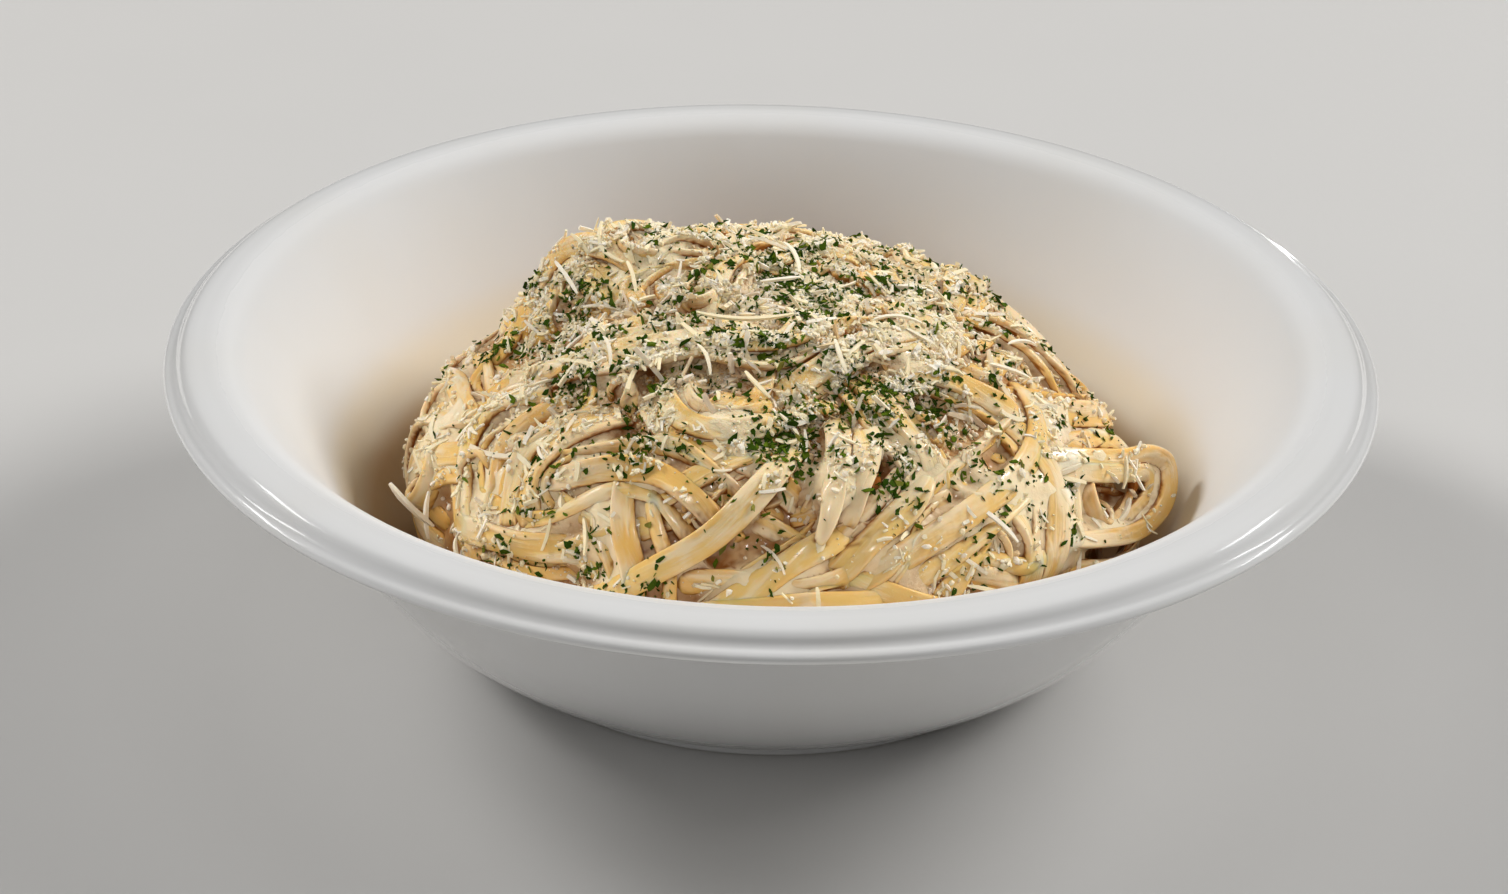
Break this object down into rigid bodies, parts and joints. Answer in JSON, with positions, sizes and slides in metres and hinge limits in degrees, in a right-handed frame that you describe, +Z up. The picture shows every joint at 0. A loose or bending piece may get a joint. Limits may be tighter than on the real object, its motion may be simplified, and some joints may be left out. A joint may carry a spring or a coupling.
{
  "type": "fettuccine alfredo in a bowl",
  "caption": "Deep porcelain bowl with a wide arched rim, heaped with fettuccine in cream sauce under grated cheese and chopped parsley.",
  "frame": {"origin": "centre of the foot ring's underside, on the bowl's axis", "axes": "+Z up along the bowl's axis, -Y towards the side of the heap with the long diagonal noodles, +X to that side's right"},
  "size_m": [0.296, 0.296, 0.0946],
  "materials": {
    "porcelain": "off-white porcelain under a clear gloss glaze",
    "pasta": "cooked egg noodles under a thin cream sauce, softly glossy and slightly see-through",
    "sauce": "smooth cream and cheese sauce, glossy",
    "cheese": "dry grated hard cheese, matte",
    "parsley": "dried chopped leaf, matte dark green"
  },
  "bodies": {
    "root": {"bowl": "porcelain", "fettuccine": "pasta"}
  },
  "joints": []
}
